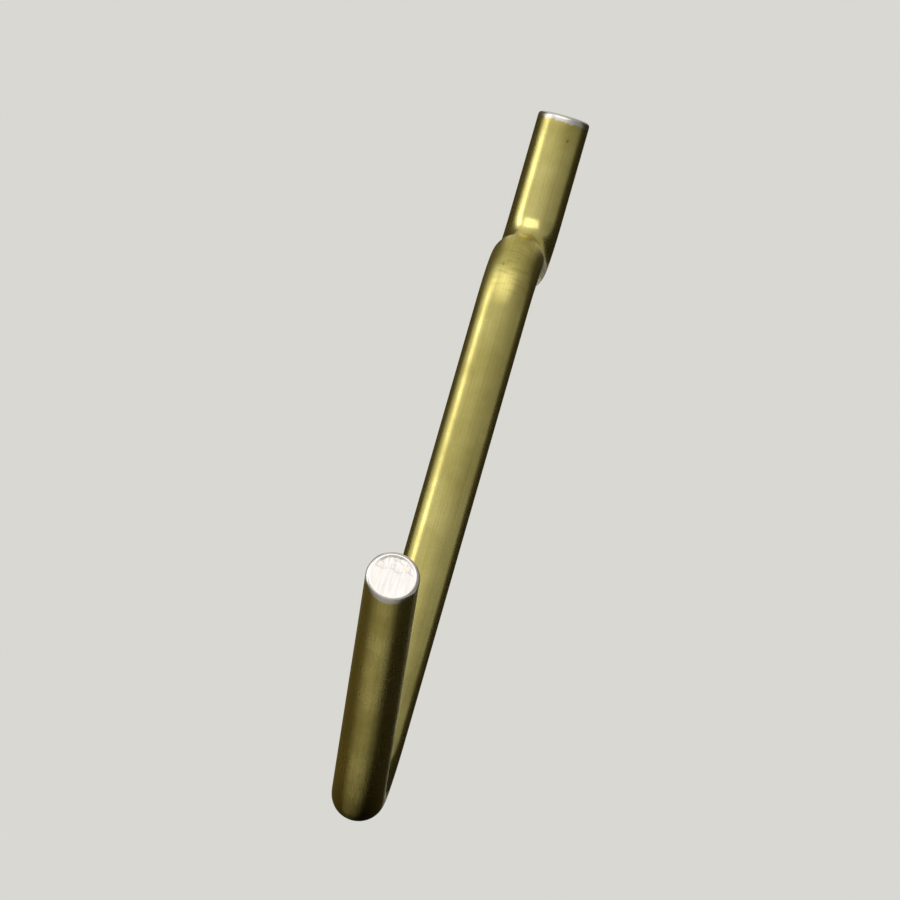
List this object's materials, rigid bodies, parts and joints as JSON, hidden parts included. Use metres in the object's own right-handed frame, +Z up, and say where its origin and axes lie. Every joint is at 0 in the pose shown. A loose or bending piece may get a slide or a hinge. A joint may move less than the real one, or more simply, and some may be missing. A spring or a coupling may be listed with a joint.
{
  "type": "pegboard hook",
  "caption": "Bent-wire pegboard hook: an upturned tail and short throat lock into a board's hole, and a straight leg carries an upward-sloping prong that tools hang on.",
  "frame": {"origin": "on the throat's centreline, in the plane of the board's front face", "axes": "+Z up the board, +Y into the board, so that the prong reaches out along -Y and up; X is across the wire's plane"},
  "size_m": [0.0032, 0.0488, 0.0446],
  "materials": {
    "plated_wire": "brass-plated drawn steel wire, satin, bare steel at the cut ends"
  },
  "bodies": {
    "root": {"hook_wire": "plated_wire"}
  },
  "joints": []
}
